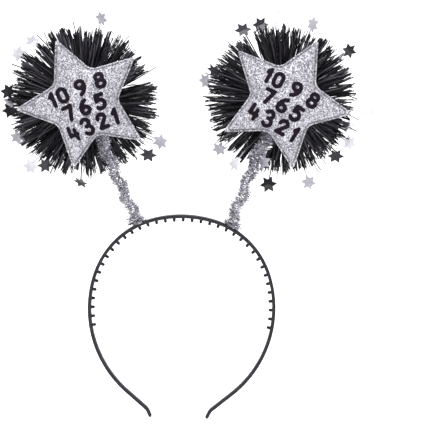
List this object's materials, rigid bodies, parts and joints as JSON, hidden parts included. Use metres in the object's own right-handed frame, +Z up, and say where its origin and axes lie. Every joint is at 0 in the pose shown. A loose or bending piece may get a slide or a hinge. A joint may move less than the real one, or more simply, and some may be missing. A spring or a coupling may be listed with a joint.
{
  "type": "party head boppers",
  "caption": "Toothed plastic headband with two tinsel-wound springs, each holding a padded glitter star on a round black foil pompom.",
  "frame": {"origin": "middle of the crown's inner face, where the band sits on the head", "axes": "+Z up out of the head, +X to the right as seen from the front, the stars face -Y"},
  "size_m": [0.2521, 0.0358, 0.278],
  "materials": {
    "band_plastic": "gloss",
    "spring_steel": "satin",
    "tinsel_silver": "gloss",
    "tinsel_yarn": "satin",
    "clear_glue": "gloss",
    "star_glitter": "satin",
    "star_backing": "matte",
    "star_foam": "matte",
    "numeral_flock": "matte",
    "core_wire": "satin",
    "fringe_foil": "gloss",
    "sequin_black": "gloss",
    "sequin_silver": "gloss"
  },
  "bodies": {
    "headband": {"headband_crown": "band_plastic", "left_base_glue": "clear_glue", "right_base_glue": "clear_glue"},
    "left_arm": {"headband_left_arm": "band_plastic"},
    "right_arm": {"headband_right_arm": "band_plastic"},
    "left_coil": {"left_spring": "spring_steel", "left_tinsel_yarn": "tinsel_yarn", "left_tinsel_sleeve": "tinsel_silver"},
    "left_topper": {"left_hub_glue": "clear_glue", "left_star_front": "star_glitter", "left_star_foam": "star_foam", "left_star_back": "star_backing", "left_star_numerals": "numeral_flock", "left_garland_core": "core_wire", "left_garland_fringe": "fringe_foil", "left_sequins_black": "sequin_black", "left_sequins_silver": "sequin_silver"},
    "right_coil": {"right_spring": "spring_steel", "right_tinsel_yarn": "tinsel_yarn", "right_tinsel_sleeve": "tinsel_silver"},
    "right_topper": {"right_hub_glue": "clear_glue", "right_star_front": "star_glitter", "right_star_foam": "star_foam", "right_star_back": "star_backing", "right_star_numerals": "numeral_flock", "right_garland_core": "core_wire", "right_garland_fringe": "fringe_foil", "right_sequins_black": "sequin_black", "right_sequins_silver": "sequin_silver"}
  },
  "joints": [
    {"name": "left_arm_flex", "type": "hinge", "parent": "headband", "child": "left_arm", "pos_m": [-0.04294, 0, -0.01326], "axis": [0, 1, 0], "range_deg": [0, 18], "stiffness_Nm_per_rad": 0.8},
    {"name": "right_arm_flex", "type": "hinge", "parent": "headband", "child": "right_arm", "pos_m": [0.04294, 0, -0.01326], "axis": [0, -1, 0], "range_deg": [0, 18], "stiffness_Nm_per_rad": 0.8},
    {"name": "left_sway", "type": "hinge", "parent": "headband", "child": "left_coil", "pos_m": [-0.04344, 0, 0.02146], "axis": [0, -1, 0], "range_deg": [-10, 30], "stiffness_Nm_per_rad": 0.06, "springref_deg": -4.08, "deforming": ["left_spring", "left_tinsel_yarn", "left_tinsel_sleeve"]},
    {"name": "left_nod", "type": "hinge", "parent": "left_coil", "child": "left_topper", "pos_m": [-0.05597, 0, 0.04788], "axis": [1, 0, 0], "range_deg": [-25, 35], "stiffness_Nm_per_rad": 0.06, "springref_deg": 1.55},
    {"name": "right_sway", "type": "hinge", "parent": "headband", "child": "right_coil", "pos_m": [0.04184, 0, 0.02326], "axis": [0, 1, 0], "range_deg": [-10, 30], "stiffness_Nm_per_rad": 0.06, "springref_deg": -3.55, "deforming": ["right_spring", "right_tinsel_yarn", "right_tinsel_sleeve"]},
    {"name": "right_nod", "type": "hinge", "parent": "right_coil", "child": "right_topper", "pos_m": [0.05277, 0, 0.05148], "axis": [1, 0, 0], "range_deg": [-25, 35], "stiffness_Nm_per_rad": 0.06, "springref_deg": 1.55}
  ],
  "couplings": [
    {"joint": "right_arm_flex", "follows": "left_arm_flex", "ratio": 1}
  ]
}
